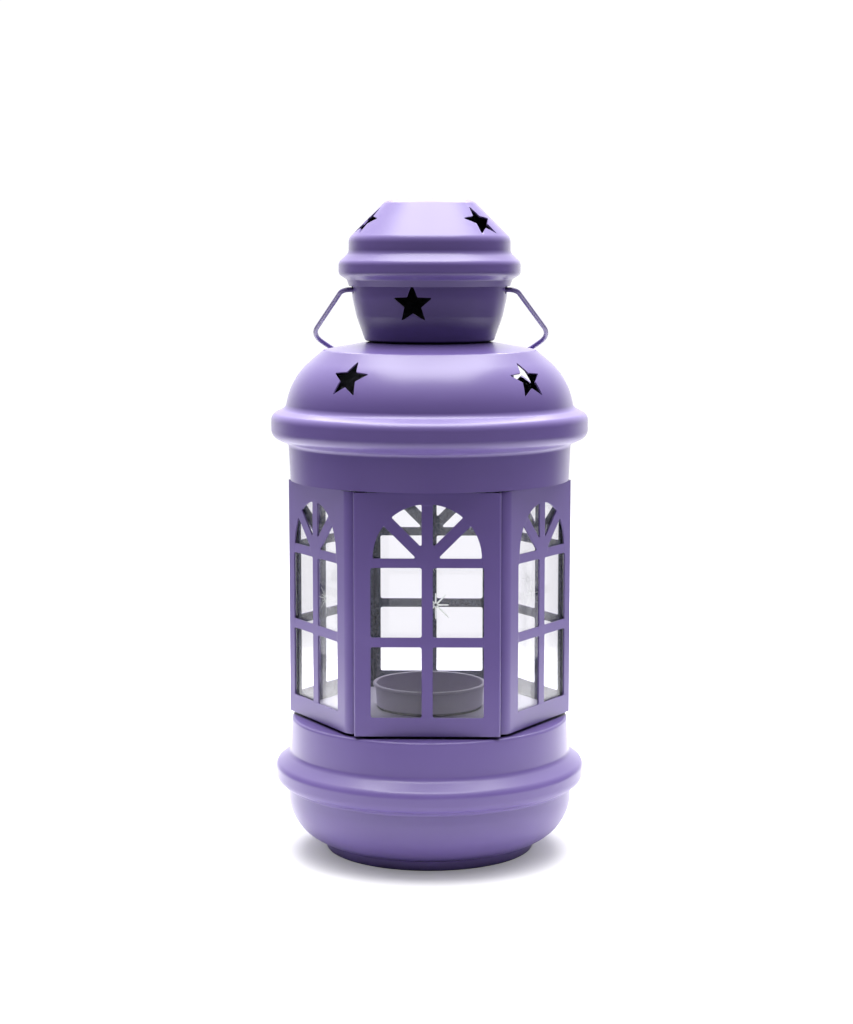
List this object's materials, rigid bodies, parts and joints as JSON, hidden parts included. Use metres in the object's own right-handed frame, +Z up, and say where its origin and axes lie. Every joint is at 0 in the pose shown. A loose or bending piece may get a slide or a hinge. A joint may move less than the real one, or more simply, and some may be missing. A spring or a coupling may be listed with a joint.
{
  "type": "candle lantern",
  "caption": "Painted sheet-metal tealight lantern: turned base with candle cup, glazed hexagonal housing under a domed roof with chimney and star vents, and a swinging wire bail.",
  "frame": {"origin": "on the resting surface, under the lantern's vertical axis", "axes": "+Z up along the lantern's axis; -Y out of the front panel; +X to the right of someone facing the front"},
  "size_m": [0.113, 0.1132, 0.233],
  "materials": {
    "paint": "satin violet powder coat",
    "cup_paint": "dull violet-grey paint",
    "wire_paint": "satin violet paint on steel wire",
    "bare_metal": "dull galvanised sheet with a fine speckle",
    "pane_glass": "clear flat glass with a small etched starburst"
  },
  "bodies": {
    "base": {"base_bowl": "paint", "base_collar": "paint", "floor_plate": "cup_paint", "candle_cup": "cup_paint"},
    "housing": {"bottom_ring": "bare_metal", "side_shell_right": "paint", "side_shell_left": "paint", "front_panel": "paint", "back_panel": "paint", "pane_front": "pane_glass", "pane_front_right": "pane_glass", "pane_back_right": "pane_glass", "pane_back": "pane_glass", "pane_back_left": "pane_glass", "pane_front_left": "pane_glass", "glazing_strip_front_left": "bare_metal", "glazing_strip_front_right": "bare_metal", "glazing_strip_right": "bare_metal", "glazing_strip_back_right": "bare_metal", "glazing_strip_back_left": "bare_metal", "glazing_strip_left": "bare_metal", "top_ring": "bare_metal", "roof_dome": "paint", "chimney": "paint", "chimney_cap": "paint"},
    "bail": {"bail_handle": "wire_paint"}
  },
  "joints": [
    {"name": "housing_lift", "type": "slide", "parent": "base", "child": "housing", "axis": [0, 0, 1], "range_m": [0, 0.12]},
    {"name": "bail_swing", "type": "hinge", "parent": "housing", "child": "bail", "pos_m": [0, -0.006, 0.2014], "axis": [1, 0, 0], "range_deg": [0, 246]}
  ]
}
